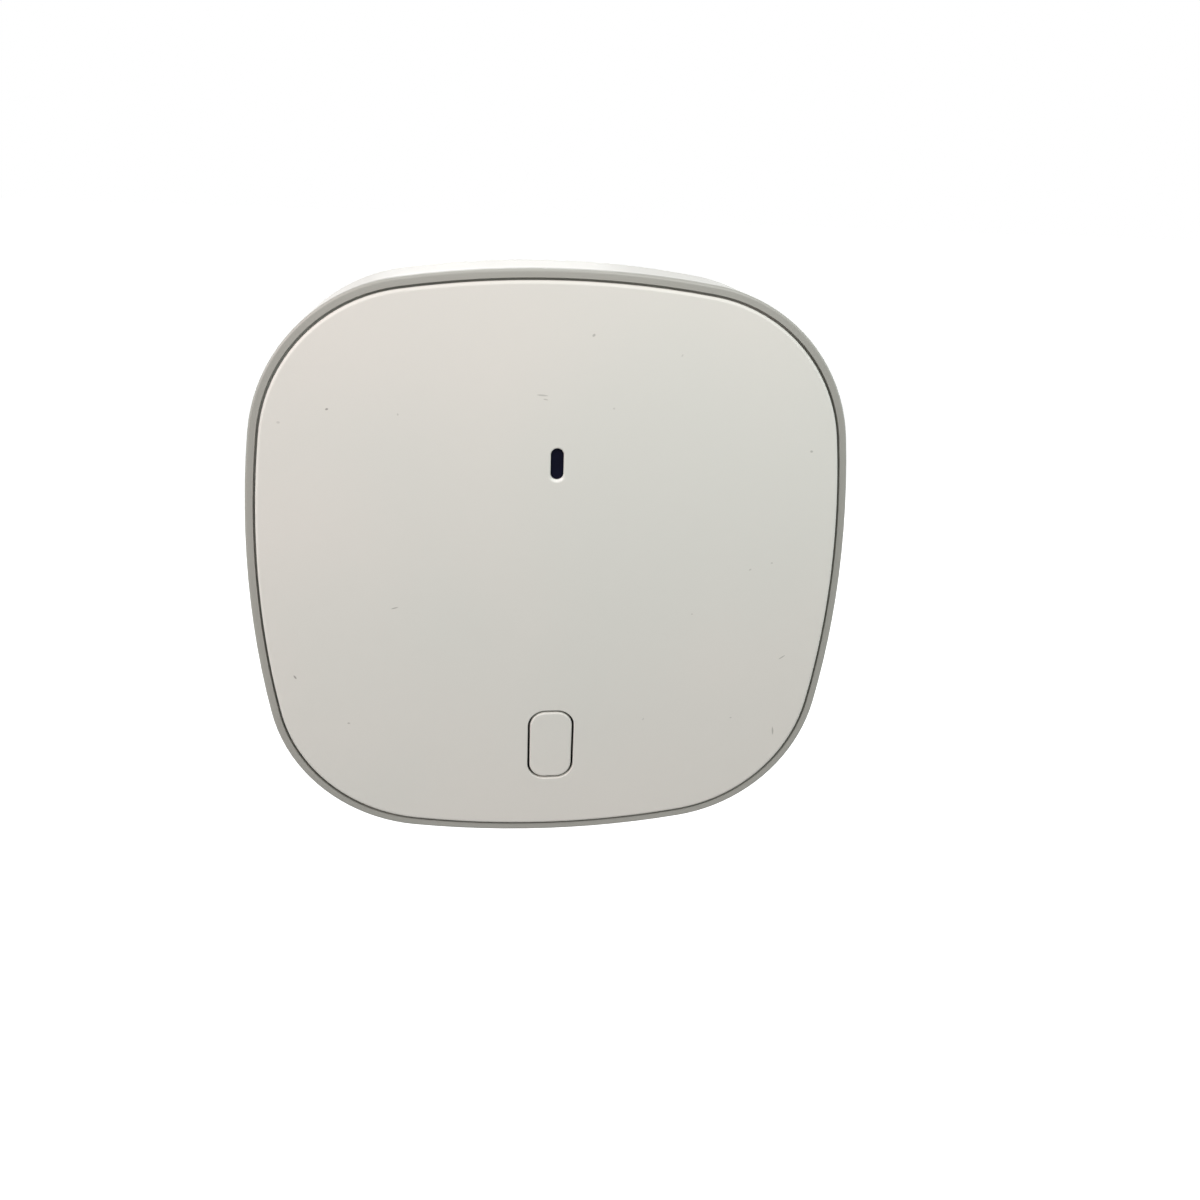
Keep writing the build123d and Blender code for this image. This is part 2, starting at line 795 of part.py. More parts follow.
nodes = {
    "front_panel": make_front_panel(),
    "trim_ring": make_trim_ring(),
    "rear_shell": make_rear_shell(),
    "case_screws": make_case_screws(),
    "mounting_bracket": make_mounting_bracket(),
    "settings_button": make_settings_button(),
    "status_lens": make_status_lens(),
    "lens_shroud": make_lens_shroud(),
    "main_board": make_main_board(),
    "board_screws": make_board_screws(),
    "switch_base": make_switch_base(),
    "switch_dome": make_switch_dome(),
    "switch_frame": make_switch_frame(),
    "switch_plunger": make_switch_plunger(),
    "status_led": make_status_led(),
    "power_socket": make_power_socket(),
    "socket_tongue": make_socket_tongue(),
    "wifi_board": make_wifi_board(),
    "wifi_can": make_wifi_can(),
    "radio_can": make_can(radio_can_width, radio_can_height, radio_shares),
    "aerial": make_aerial(),
    "sounder": make_sounder(),
    "processor": make_processor(),
    "crystal": make_crystal(),
    "capacitors": make_capacitors(),
    "inductor": make_inductor(),
    "chip_parts": make_chip_parts(),
}

for name, shape in nodes.items():
    export_step(shape, f"parts/{name}.step")
    print(name, len(shape.solids()), round(sum(s.volume for s in shape.solids()), 2))
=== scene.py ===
"""Looks of the garage door controller: finishes, small details, light and camera."""

import json
from math import cos, pi, radians, sin

import bmesh
import bpy
from mathutils import Matrix, Vector


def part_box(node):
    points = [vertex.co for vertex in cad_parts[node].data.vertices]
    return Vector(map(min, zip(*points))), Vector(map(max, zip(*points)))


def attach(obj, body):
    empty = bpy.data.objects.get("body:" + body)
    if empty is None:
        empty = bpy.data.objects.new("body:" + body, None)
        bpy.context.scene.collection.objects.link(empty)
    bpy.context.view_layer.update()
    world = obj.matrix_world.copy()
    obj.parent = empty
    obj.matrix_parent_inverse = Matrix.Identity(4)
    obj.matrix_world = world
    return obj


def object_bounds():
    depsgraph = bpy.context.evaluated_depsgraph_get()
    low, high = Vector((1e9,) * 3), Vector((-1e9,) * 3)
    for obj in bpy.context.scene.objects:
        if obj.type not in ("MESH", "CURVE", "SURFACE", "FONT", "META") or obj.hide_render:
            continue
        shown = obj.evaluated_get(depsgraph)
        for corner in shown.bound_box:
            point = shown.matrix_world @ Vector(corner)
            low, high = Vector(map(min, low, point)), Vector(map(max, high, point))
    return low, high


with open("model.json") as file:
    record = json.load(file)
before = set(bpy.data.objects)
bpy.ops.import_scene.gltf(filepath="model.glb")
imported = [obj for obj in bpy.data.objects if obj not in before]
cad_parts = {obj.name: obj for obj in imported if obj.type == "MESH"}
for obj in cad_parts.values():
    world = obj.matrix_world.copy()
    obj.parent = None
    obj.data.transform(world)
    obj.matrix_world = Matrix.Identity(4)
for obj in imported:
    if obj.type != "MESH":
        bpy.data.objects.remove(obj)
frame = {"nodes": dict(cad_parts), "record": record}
cad_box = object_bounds()


def middle_of(box):
    """The middle of a box."""
    return (box[0] + box[1]) / 2


MM = 0.001

# Places read from the frame, in metres: the ring's face, the board's two sides, and how high the middles
# of the button and the slot are
RING_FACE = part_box("trim_ring")[0].y
BOARD_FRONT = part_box("main_board")[0].y
BOARD_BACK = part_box("main_board")[1].y
BUTTON_Z = middle_of(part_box("settings_button")).z
SLOT_Z = middle_of(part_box("status_lens")).z

# Camera, worked out from the outline of the face in the photograph. Its place is from the middle of the
# ring's face, its turns are from a straight look at the face.
PHOTO_SIDE = 1200
FOCAL_PIXELS = 1056.8
SENSOR = 36.0
CAMERA_TO_FACE = Vector((-11.36, -129.65, 49.54)) * MM
CAMERA_YAW = radians(7.725)
CAMERA_PITCH = radians(21.938)
CAMERA_ROLL = radians(-2.366)
CLIP_START = 1 * MM
CLIP_END = 100.0

# Floor and surroundings
FLOOR_DROP = 70 * MM
FLOOR_SIDE = 8.0
FLOOR_GLOW = 0.86
FLOOR_COLOUR = (0.45, 0.45, 0.45, 1.0)
WORLD_STRENGTH = 0.39
WORLD_COLOUR = (0.97, 1.0, 0.99, 1.0)
WHITE = (1.0, 1.0, 1.0, 1.0)
BLACK = (0.0, 0.0, 0.0, 1.0)

# Square soft lamps: place, side, power in watts and colour
LAMPS = {
    "left_key": ((-250 * MM, -165 * MM, 165 * MM), 150 * MM, 0.64, (1.0, 0.82, 0.83)),
    "right_key": ((75 * MM, -165 * MM, 165 * MM), 150 * MM, 0.295, (0.95, 1.0, 0.99)),
    "left_side": ((-420 * MM, -60 * MM, 80 * MM), 300 * MM, 0.35, (0.62, 1.0, 0.98)),
    "right_side": ((420 * MM, -60 * MM, 80 * MM), 300 * MM, 0.4, (1.0, 1.0, 1.0)),
    "back_fill": ((0.0, 400 * MM, 30 * MM), 130 * MM, 0.4, (1.0, 1.0, 1.0)),
    "left_back": ((-280 * MM, 330 * MM, 60 * MM), 200 * MM, 0.35, (1.0, 1.0, 1.0)),
    "right_back": ((280 * MM, 330 * MM, 60 * MM), 200 * MM, 0.45, (1.0, 1.0, 1.0)),
}

# Painted shade deep in the gap round the button, in millimetres: its strength, how near to its middle it is
# and from which share of that, squared, it fades, from which depth to which, where and how much sooner it
# starts left of the cap, which the light reaches least, and where and to what share it fades above and below
# the cap
GAP_SHADE_STRENGTH = 0.9
GAP_REACH = 6.8
GAP_FADE_SHARE = 0.9
GAP_START = -27.3
GAP_END = -26.9
GAP_LEFT = (-3.2, -2.6)
GAP_LEFT_SHIFT = 0.3
GAP_ENDS = (4.2, 4.9)
GAP_ENDS_SHARE = 0.35

# Soft polished lip round the status slot's lower end, in millimetres: the radius of the slot's end with
# its rounded edge, half the slot's straight length, where below its middle the lip begins, how far it runs
# out, its slope at the edge, how much smoother it is, and how much painted highlight makes it paler
SLOT_RADIUS = 0.9
SLOT_STRAIGHT = 1.175
LIP_START = (1.3, 2.0)
LIP_REACH = 0.38
LIP_SLOPE = 0.8
LIP_SHINE = 0.32
LIP_HIGHLIGHT = 0.8

# Power socket: contacts on its tongue, their tails, and the tabs that hold it
TONGUE_THICKNESS = 0.6 * MM
CONTACTS = 5
CONTACT_PITCH = 0.65 * MM
CONTACT_WIDTH = 0.35 * MM
CONTACT_SHEET = 0.1 * MM
CONTACT_NOSE = 0.3 * MM
TAIL_RUN = 0.4 * MM
TAB_WIDTH = 1.1 * MM
TAB_RISE = 1.2 * MM
TAB_INSET = 0.8 * MM

# Bent legs of sheet metal
LEG_SHEET = 0.2 * MM
LEG_OUT = 0.3 * MM
LEG_FOOT = 0.6 * MM
SWITCH_LEG_WIDTH = 0.7 * MM
SWITCH_LEG_SPREAD = 2.25 * MM
SWITCH_LEG_RISE = 1.3 * MM

# Solder: how far a fillet runs out and rises, how deep it sits in what it joins, and its steps
SOLDER_REACH = 0.35 * MM
SOLDER_RISE = 0.4 * MM
SOLDER_SINK = 0.02 * MM
FILLET_STEPS = 6

# Leads that are soldered: the processor's and the aerial's
PROCESSOR_LEGS = 5
PROCESSOR_LEG_PITCH = 1.5 * MM
PROCESSOR_LEG_WIDTH = 0.5 * MM
AERIAL_LEG_PITCH = 5.0 * MM
AERIAL_SHEET = 0.4 * MM

# End caps of the chip parts
CAP_LENGTH = 0.4 * MM
CAP_PROUD = 0.03 * MM

# Radio board: soldered edge pads, how much of the board's thickness their joints climb, and the printed
# aerial above the can
EDGE_PADS = 12
EDGE_PAD_PITCH = 1.7 * MM
EDGE_PAD_WIDTH = 0.9 * MM
EDGE_PAD_LENGTH = 0.7 * MM
EDGE_JOINT_RISE = 0.8
TRACE_WIDTH = 0.5 * MM
TRACE_PITCH = 1.5 * MM
TRACE_RUNS = 9
TRACE_MARGIN = 0.9 * MM
FOIL = 0.04 * MM

# Round pads at the board's screws, and test pads on its front
SCREW_PAD_INNER = 1.2 * MM
SCREW_PAD_OUTER = 2.5 * MM
TEST_PAD_RADIUS = 0.55 * MM
TEST_PAD_PITCH = 2.2 * MM
TEST_PADS = 6
TEST_PADS_PLACE = (9.0 * MM, -6.0 * MM)

# White outlines printed round the parts
PRINT_WIDTH = 0.15 * MM
PRINT_SPACE = 0.3 * MM
PRINT_SHEET = 0.02 * MM

# Pressed dimples of the screening cans: first the angles at which the rings of one lie
DIMPLE_ANGLES = (0.0, 0.4, 0.8, 1.2, 1.45)
DIMPLE_RADIUS = 0.35 * MM
DIMPLE_RISE = 0.12 * MM
DIMPLE_PITCH = 2.4 * MM
DIMPLE_HEIGHT = 1.1 * MM

# Winding and core in the inductor's top, whose sunk floor is a few wires below it
WINDING_RADIUS = 1.85 * MM
WINDING_WIRE = 0.13 * MM
WIRE_SIDES = 10
WINDING_TURNS = 4
WINDING_SINK = 3 * WINDING_WIRE
CORE_SINK = 2 * WINDING_WIRE
CORE_RADIUS = 1.55 * MM
CORE_BEVEL = 0.15 * MM

# Ridged disc in the sounder's hole
DISC_RADIUS = 1.1 * MM
DISC_DEPTH = 1.9 * MM
DISC_RIDGES = 5
DISC_RIDGE = 0.03 * MM

# Drop of resin on the lamp: the angles at which its rings lie, its radius as a share of the lamp's width,
# and its rise
DOME_ANGLES = (0.0, 0.3, 0.6, 0.9, 1.2, 1.45)
DOME_SHARE = 0.3
DOME_RISE = 0.3 * MM

# Dark segment on a capacitor's top: its radius, the angle at which its arc starts, and its steps
SEGMENT_RADIUS = 2.7 * MM
SEGMENT_ANGLE = 0.525
SEGMENT_STEPS = 24

# Extra pieces: angle between faces from which an edge is crisp, and how near points of a solid are one
CREASE = radians(42)
WELD = 0.001 * MM

# Board finish: cells of tracks and of holes in a millimetre, tracks round a cell, and how tight the weave is
TRACK_CELLS = 0.24
HOLE_CELLS = 0.36
TRACK_RINGS = 16.0
WEAVE_TURNS = 9.0


def srgb(red, green, blue):
    """A display colour, 0 to 255, as the linear colour that a shader takes."""
    def one(value):
        share = value / 255
        return share / 12.92 if share <= 0.04045 else ((share + 0.055) / 1.055) ** 2.4

    return (one(red), one(green), one(blue), 1.0)


# Colours of what is small: rub marks on the face, painted highlight on the slot's lip, painted shade in the
# gap round the button, dust on the lens, plated rims and bores of the holes in the board
MARK_COLOUR = srgb(96, 92, 86)
LIP_HIGHLIGHT_COLOUR = srgb(246, 245, 240)
GAP_SHADE_COLOUR = srgb(30, 29, 28)
DUST_COLOUR = srgb(46, 48, 60)
HOLE_RIM_COLOUR = srgb(206, 196, 168)
HOLE_COLOUR = srgb(18, 22, 18)

# Sockets of a Mix node, for colours and for numbers: data type, first input, second input and output
COLOUR_MIX = ("RGBA", 6, 7, 2)
NUMBER_MIX = ("FLOAT", 2, 3, 0)


class Link:
    """One output in a node tree. Python's operators turn it into Math nodes."""

    def __init__(self, shading, socket):
        self.shading = shading
        self.socket = socket

    def math(self, operation, *others):
        """A Math node with this link first."""
        return self.shading.node("ShaderNodeMath", {"operation": operation}, (self, *others))

    def __add__(self, other):
        return self.math("ADD", other)

    __radd__ = __add__

    def __mul__(self, other):
        return self.math("MULTIPLY", other)

    __rmul__ = __mul__

    def __sub__(self, other):
        return self.math("SUBTRACT", other)

    def __rsub__(self, other):
        return self.shading.node("ShaderNodeMath", {"operation": "SUBTRACT"}, (other, self))

    def __abs__(self):
        return self.math("ABSOLUTE")


class Shading:
    """The nodes that shade a material or the surroundings, cleared first."""

    def __init__(self, owner):
        owner.use_nodes = True
        self.tree = owner.node_tree
        self.tree.nodes.clear()

    def node(self, kind, settings=None, values=(), out=0):
        """A node of any kind with its settings and the values or links of its sockets; gives one output."""
        made = self.tree.nodes.new(kind)
        for name, value in (settings or {}).items():
            setattr(made, name, value)
        pairs = values.items() if isinstance(values, dict) else enumerate(values)
        for key, value in pairs:
            if isinstance(value, Link):
                self.tree.links.new(value.socket, made.inputs[key])
            else:
                made.inputs[key].default_value = value
        return Link(self, made.outputs[out]) if made.outputs else None

    def mix(self, share, first, second, sockets=COLOUR_MIX):
        """A colour, or a number with NUMBER_MIX, that goes from first to second as share goes 0 to 1."""
        kind, at_first, at_second, out = sockets
        values = {0: share, at_first: first, at_second: second}
        return self.node("ShaderNodeMix", {"data_type": kind}, values, out)


class Finish(Shading):
    """A procedural material, and short ways to make what feeds its shader."""

    def __init__(self, name):
        self.material = bpy.data.materials.new(name)
        super().__init__(self.material)

    def place(self):
        """The point on the object, in millimetres of the shared frame."""
        point = self.node("ShaderNodeTexCoord", out="Object")
        return self.node("ShaderNodeVectorMath", {"operation": "SCALE"}, {0: point, "Scale": 1 / MM})

    def stretched(self, point, x, y, z):
        """A point scaled differently along each axis."""
        return self.node("ShaderNodeVectorMath", {"operation": "MULTIPLY"}, (point, (x, y, z)))

    def split(self, point):
        """The three coordinates of a point."""
        first = self.node("ShaderNodeSeparateXYZ", {}, (point,))
        return [Link(self, output) for output in first.socket.node.outputs]

    def noise(self, point, per_mm, detail=2.0, rough=0.5):
        """Soft noise, 0 to 1, with per_mm features in a millimetre."""
        return self.node(
            "ShaderNodeTexNoise",
            {"noise_dimensions": "3D"},
            {"Vector": point, "Scale": per_mm, "Detail": detail, "Roughness": rough},
        )

    def step(self, value, low, high, start=0.0, end=1.0):
        """A smooth change from start to end while value goes from low to high."""
        return self.node(
            "ShaderNodeMapRange",
            {"interpolation_type": "SMOOTHSTEP"},
            {"Value": value, "From Min": low, "From Max": high, "To Min": start, "To Max": end},
        )

    def bump(self, height, depth_mm):
        """A normal that follows a height, where 1 stands for depth_mm."""
        values = {"Strength": 1.0, "Distance": depth_mm * MM, "Height": height}
        return self.node("ShaderNodeBump", {}, values)

    def feed(self, **sockets):
        """The material, with a shader whose sockets are named in lower case with underscores."""
        values = {}
        for name, value in sockets.items():
            values[name.replace("_", " ").title().replace("Ior", "IOR")] = value
        shader = self.node("ShaderNodeBsdfPrincipled", {}, values)
        self.node("ShaderNodeOutputMaterial", {}, (shader,))
        return self.material


# Small marks on the face: how much rougher and how deep they are, and a row for each with its x, z, half
# length and half width in millimetres, turn in degrees, and strength
MARK_ROUGHER = 0.2
MARK_DEPTH = 0.8
FACE_MARKS = (
    (-27.9, 22.1, 0.22, 0.16, 20, 0.60),
    (-19.5, 21.6, 0.12, 0.16, 0, 0.28),
    (-33.7, 20.4, 0.25, 0.18, 0, 0.22),
    (-2.0, 24.2, 0.80, 0.12, -4, 0.34),
    (-1.6, 23.7, 0.35, 0.09, -10, 0.34),
    (4.1, 31.5, 0.25, 0.18, 40, 0.40),
    (6.9, 22.7, 0.18, 0.14, 0, 0.22),
    (32.9, 17.4, 0.22, 0.18, 0, 0.40),
    (15.1, 29.3, 0.20, 0.12, 60, 0.20),
    (-20.7, -3.7, 0.55, 0.09, 15, 0.50),
    (-34.0, -13.6, 0.35, 0.14, -60, 0.60),
    (-27.4, -20.6, 0.22, 0.14, 0, 0.40),
    (26.2, 1.3, 0.22, 0.12, 30, 0.30),
    (29.1, 2.2, 0.20, 0.12, 0, 0.30),
    (18.7, -5.0, 0.16, 0.12, 0, 0.25),
    (32.0, -11.8, 0.60, 0.10, 35, 0.45),
    (31.9, -23.5, 0.14, 0.75, 8, 0.45),
    (12.9, -20.9, 0.20, 0.10, 50, 0.30),
    (25.5, -21.1, 0.18, 0.12, 0, 0.30),
)


def marks_mask(finish, point, marks):
    """1 on the small marks, 0 elsewhere, with ragged borders."""
    x, _, z = finish.split(point)
    ragged = finish.noise(point, per_mm=7.0, detail=3.0) * 0.9 + 0.55
    total = None
    for at_x, at_z, length, width, turn, strength in marks:
        c, s = cos(radians(turn)), sin(radians(turn))
        along = ((x - at_x) * c + (z - at_z) * s) * (1 / length)
        across = ((z - at_z) * c - (x - at_x) * s) * (1 / width)
        away = (along * along + across * across) * ragged
        spot = finish.step(away, low=0.2, high=1.1, start=strength, end=0.0)
        total = spot if total is None else total.math("MAXIMUM", spot)
    return total


def painted_gap_shade(finish, point):
    """Painted shade: 1 on walls deep in the gap round the button, 0 elsewhere."""
    x, y, z = finish.split(point)
    up = z - BUTTON_Z / MM
    limit = GAP_REACH**2
    near = finish.step(x * x + up * up, GAP_FADE_SHARE * limit, limit, start=1.0, end=0.0)
    share = near * finish.step(abs(up), *GAP_ENDS, start=1.0, end=GAP_ENDS_SHARE)
    sooner = finish.step(x, *GAP_LEFT, start=GAP_LEFT_SHIFT, end=0.0)
    return share * finish.step(y + sooner, GAP_START, GAP_END)


def slot_lip(finish, point):
    """1 at the edge of the slot's lower end, falling to 0 where its soft lip ends."""
    x, _, z = finish.split(point)
    down = SLOT_Z / MM - z
    beyond = (down - SLOT_STRAIGHT).math("MAXIMUM", 0.0)
    away = (x * x + beyond * beyond).math("SQRT") - SLOT_RADIUS
    near = (1.0 - away * (1 / LIP_REACH)).math("MAXIMUM", 0.0).math("MINIMUM", 1.0)
    return near * finish.step(down, *LIP_START)


def moulded_plastic(name, colour, shade, roughness, grain_mm=0.16, grain_depth=0.006, marks=()):
    """Moulded plastic: faint clouding, fine eroded grain and soft rub marks. With small marks, it is the
    face's, which also has painted shade deep in the gap round the button and a painted highlight on the
    slot's lip."""
    finish = Finish(name)
    point = finish.place()
    cloud = finish.noise(point, per_mm=0.02, detail=2.0)
    grain = finish.noise(point, per_mm=1 / grain_mm, detail=2.0, rough=0.6)
    rub = finish.noise(finish.stretched(point, 0.35, 0.35, 1.0), per_mm=0.5, detail=4.0, rough=0.7)
    base = finish.mix(finish.step(cloud, low=0.3, high=0.7), colour, shade)
    base = finish.mix(finish.step(grain, low=0.62, high=0.9, end=0.22), base, shade)
    rough = roughness + (cloud - 0.5) * 0.08 + (grain - 0.5) * 0.10
    rough = rough - finish.step(rub, low=0.62, high=0.8, end=0.07)
    fine_grain = finish.noise(point, per_mm=2.4 / grain_mm, detail=1.0)
    height = grain * 0.75 + fine_grain * 0.25
    if marks:
        mark = marks_mask(finish, point, marks)
        base = finish.mix(mark, base, MARK_COLOUR)
        # painted shade deep in the gap round the button
        base = finish.mix(painted_gap_shade(finish, point) * GAP_SHADE_STRENGTH, base, GAP_SHADE_COLOUR)
        lip = slot_lip(finish, point)
        # painted highlight on the slot's lower lip, paler than the face
        base = finish.mix(lip * LIP_HIGHLIGHT, base, LIP_HIGHLIGHT_COLOUR)
        rough = rough + mark * MARK_ROUGHER - lip * LIP_SHINE
        height = height - mark * MARK_DEPTH - lip * lip * (LIP_SLOPE * LIP_REACH / 2 / grain_depth)
    return finish.feed(base_color=base, roughness=rough, normal=finish.bump(height, grain_depth))


def smoked_plastic():
    """Dark polished light guide, with fine moulding waves and dust."""
    finish = Finish("smoked_lens_finish")
    point = finish.place()
    specks = finish.noise(point, per_mm=9.0, detail=2.0)
    dust = finish.step(specks, low=0.66, high=0.74, end=0.25)
    depth = finish.noise(point, per_mm=0.8, detail=2.0)
    base = finish.mix(depth, srgb(15, 15, 26), srgb(21, 21, 41))
    base = finish.mix(dust, base, DUST_COLOUR)
    rough = 0.12 + dust * 0.8 + depth * 0.05
    wave = finish.bump(finish.noise(point, per_mm=1.5, detail=1.0), depth_mm=0.004)
    return finish.feed(base_color=base, roughness=rough, normal=wave, specular_ior_level=0.12)


def sheet_metal(name, colour, tarnish, roughness=0.3, brush=(0.4, 0.4, 8.0)):
    """Rolled sheet metal: fine brushing along one direction and faint tarnish."""
    finish = Finish(name)
    point = finish.place()
    lines = finish.noise(finish.stretched(point, *brush), per_mm=3.0, detail=3.0, rough=0.65)
    spots = finish.step(finish.noise(point, per_mm=0.6, detail=4.0), low=0.5, high=0.75)
    base = finish.mix(spots * 0.5, colour, tarnish)
    rough = roughness + lines * 0.16 + spots * 0.1
    normal = finish.bump(lines, depth_mm=0.004)
    return finish.feed(base_color=base, roughness=rough, metallic=1.0, normal=normal)


def solder_mask(name, mask, track):
    """Coated board: raised tracks and poured areas under the mask, small plated holes and a weave."""
    finish = Finish(name)
    point = finish.place()
    x, _, z = finish.split(point)
    cells = finish.node(
        "ShaderNodeTexVoronoi",
        {"distance": "CHEBYCHEV"},
        {"Vector": point, "Scale": TRACK_CELLS, "Randomness": 0.9},
    )
    tracks = finish.step((cells * TRACK_RINGS).math("SINE"), low=0.62, high=0.78)
    poured = finish.step(finish.noise(point, per_mm=0.06, detail=1.0), low=0.56, high=0.57)
    tracks = tracks.math("MAXIMUM", poured * 0.8)
    holes = finish.node("ShaderNodeTexVoronoi", {}, {"Vector": point, "Scale": HOLE_CELLS})
    busy = finish.step(finish.noise(point, per_mm=0.12, detail=1.0), low=0.5, high=0.52)
    rim = finish.step(holes, low=0.10, high=0.12, start=1.0, end=0.0) * busy
    bore = finish.step(holes, low=0.05, high=0.06, start=1.0, end=0.0) * busy
    weave = ((x * WEAVE_TURNS).math("SINE") + (z * WEAVE_TURNS).math("SINE")) * 0.25 + 0.5
    base = finish.mix(tracks, mask, track)
    base = finish.mix(rim, base, HOLE_RIM_COLOUR)
    base = finish.mix(bore, base, HOLE_COLOUR)
    rough = 0.38 - tracks * 0.06 + weave * 0.05
    metal = (rim - bore) * 0.9
    height = tracks * 0.7 + weave * 0.12 + rim * 0.3 - bore
    normal = finish.bump(height, depth_mm=0.03)
    return finish.feed(base_color=base, roughness=rough, metallic=metal, normal=normal)


def dark_moulding(name, colour, shade, roughness=0.5, speck_mm=0.12):
    """Filled moulding, as on chips, switches and coils: fine speckle, soft patches and matte grain."""
    finish = Finish(name)
    point = finish.place()
    speckle = finish.noise(point, per_mm=1 / speck_mm, detail=2.0, rough=0.7)
    patch = finish.noise(point, per_mm=0.3, detail=3.0)
    base = finish.mix(finish.step(speckle, low=0.55, high=0.8), colour, shade)
    base = finish.mix(patch * 0.3, base, shade)
    rough = roughness + (speckle - 0.5) * 0.2
    return finish.feed(base_color=base, roughness=rough, normal=finish.bump(speckle, depth_mm=0.01))


def lamp_resin(name):
    """Milky resin of the lamp, clouded with its phosphor."""
    finish = Finish(name)
    cloud = finish.noise(finish.place(), per_mm=1.2, detail=2.0)
    base = finish.mix(cloud, srgb(236, 232, 206), srgb(222, 204, 138))
    return finish.feed(base_color=base, roughness=0.25 + cloud * 0.1, coat_weight=0.4)


FACE_WHITE = srgb(216, 213, 206)
FACE_SHADE = srgb(211, 211, 204)
SHELL_WHITE = srgb(215, 214, 209)
SHELL_SHADE = srgb(208, 208, 203)

# A finish for each material slot of the CAD nodes
FINISHES = {
    "face_plastic": moulded_plastic("face_finish", FACE_WHITE, FACE_SHADE, roughness=0.52, marks=FACE_MARKS),
    "shell_plastic": moulded_plastic(
        "shell_finish", SHELL_WHITE, SHELL_SHADE, roughness=0.5, grain_mm=0.22, grain_depth=0.008
    ),
    "ring_plastic": moulded_plastic("ring_finish", srgb(162, 161, 154), srgb(153, 153, 146), roughness=0.42),
    "bracket_plastic": moulded_plastic(
        "bracket_finish", SHELL_WHITE, SHELL_SHADE, roughness=0.55, grain_mm=0.3, grain_depth=0.012
    ),
    "smoked_lens": smoked_plastic(),
    "rubber_black": dark_moulding(
        "rubber_finish", srgb(24, 24, 25), srgb(44, 44, 46), roughness=0.85, speck_mm=0.3
    ),
    "board": solder_mask("board_finish", srgb(16, 76, 46), srgb(28, 102, 62)),
    "screw_steel": sheet_metal(
        "screw_finish", srgb(178, 178, 182), srgb(140, 138, 136), brush=(4.0, 0.5, 4.0)
    ),
    "tin_plate": sheet_metal("tin_finish", srgb(204, 203, 199), srgb(168, 162, 150), roughness=0.26),
    "black_plastic": dark_moulding("black_finish", srgb(24, 24, 26), srgb(44, 44, 47)),
    "switch_cap": moulded_plastic(
        "switch_cap_finish", srgb(206, 198, 176), srgb(190, 182, 160), roughness=0.5
    ),
    "can_aluminium": sheet_metal(
        "aluminium_finish", srgb(216, 216, 219), srgb(190, 190, 192), roughness=0.34
    ),
    "ferrite": dark_moulding(
        "ferrite_finish", srgb(58, 58, 62), srgb(92, 92, 96), roughness=0.6, speck_mm=0.2
    ),
    "ceramic": dark_moulding(
        "ceramic_finish", srgb(150, 118, 86), srgb(178, 150, 118), roughness=0.45, speck_mm=0.25
    ),
    "lamp_resin": lamp_resin("lamp_resin_finish"),
}

# Finishes of the CAD nodes that look unlike the others of their slot
OWN_FINISHES = {
    "wifi_board": solder_mask("radio_board_finish", srgb(20, 24, 30), srgb(32, 38, 46)),
}


def dress_cad_nodes():
    """Gives every CAD node the finish of its slot or its own, and smooth shading."""
    slots = {part["node"]: part["material_slot"] for part in frame["record"]["subparts"]}
    for name, node in frame["nodes"].items():
        node.data.materials.clear()
        node.data.materials.append(OWN_FINISHES.get(name, FINISHES[slots[name]]))
        for polygon in node.data.polygons:
            polygon.use_smooth = True


dress_cad_nodes()

# Finishes of the extra pieces
EXTRA_FINISHES = {
    "gold": sheet_metal(
        "gold_finish", srgb(216, 182, 104), srgb(190, 150, 76), roughness=0.24, brush=(6.0, 2.0, 2.0)
    ),
    "solder": sheet_metal(
        "solder_finish", srgb(204, 204, 202), srgb(150, 150, 148), roughness=0.22, brush=(1.5, 1.5, 1.5)
    ),
    "copper": sheet_metal(
        "copper_finish", srgb(190, 108, 66), srgb(150, 78, 44), roughness=0.28, brush=(3.0, 3.0, 3.0)
    ),
    "brass": sheet_metal(
        "brass_finish", srgb(204, 176, 104), srgb(168, 140, 78), roughness=0.3, brush=(2.0, 2.0, 2.0)
    ),
    "ink": moulded_plastic(
        "ink_finish",
        srgb(226, 226, 220),
        srgb(206, 208, 200),
        roughness=0.7,
        grain_mm=0.1,
        grain_depth=0.002,
    ),
    "paint": dark_moulding("paint_finish", srgb(20, 20, 22), srgb(34, 34, 36), roughness=0.35),
    "core": dark_moulding("core_finish", srgb(66, 66, 70), srgb(96, 96, 100), roughness=0.55, speck_mm=0.2),
    "resin": lamp_resin("dome_finish"),
}

ACROSS = Vector((1.0, 0.0, 0.0))
BACKWARDS = Vector((0.0, 1.0, 0.0))
UPWARDS = Vector((0.0, 0.0, 1.0))


def turns(steps):
    """Angles evenly round a circle."""
    return [2 * pi * n / steps for n in range(steps)]


def fillet_arc(rise):
    """A solder fillet's hollow curve as (run, climb) pairs, from its foot to the top of its rise."""
    arc = [pi / 2 * n / FILLET_STEPS for n in range(FILLET_STEPS + 1)]
    return [(SOLDER_REACH * (1 - sin(a)), rise * (1 - cos(a))) for a in arc]


def dome_profile(radius, rise, sink, angles):
    """A dome's (radius, height) pairs, from sink below its foot to near its top."""
    return [(radius, -sink), *((radius * cos(a), rise * sin(a)) for a in angles)]


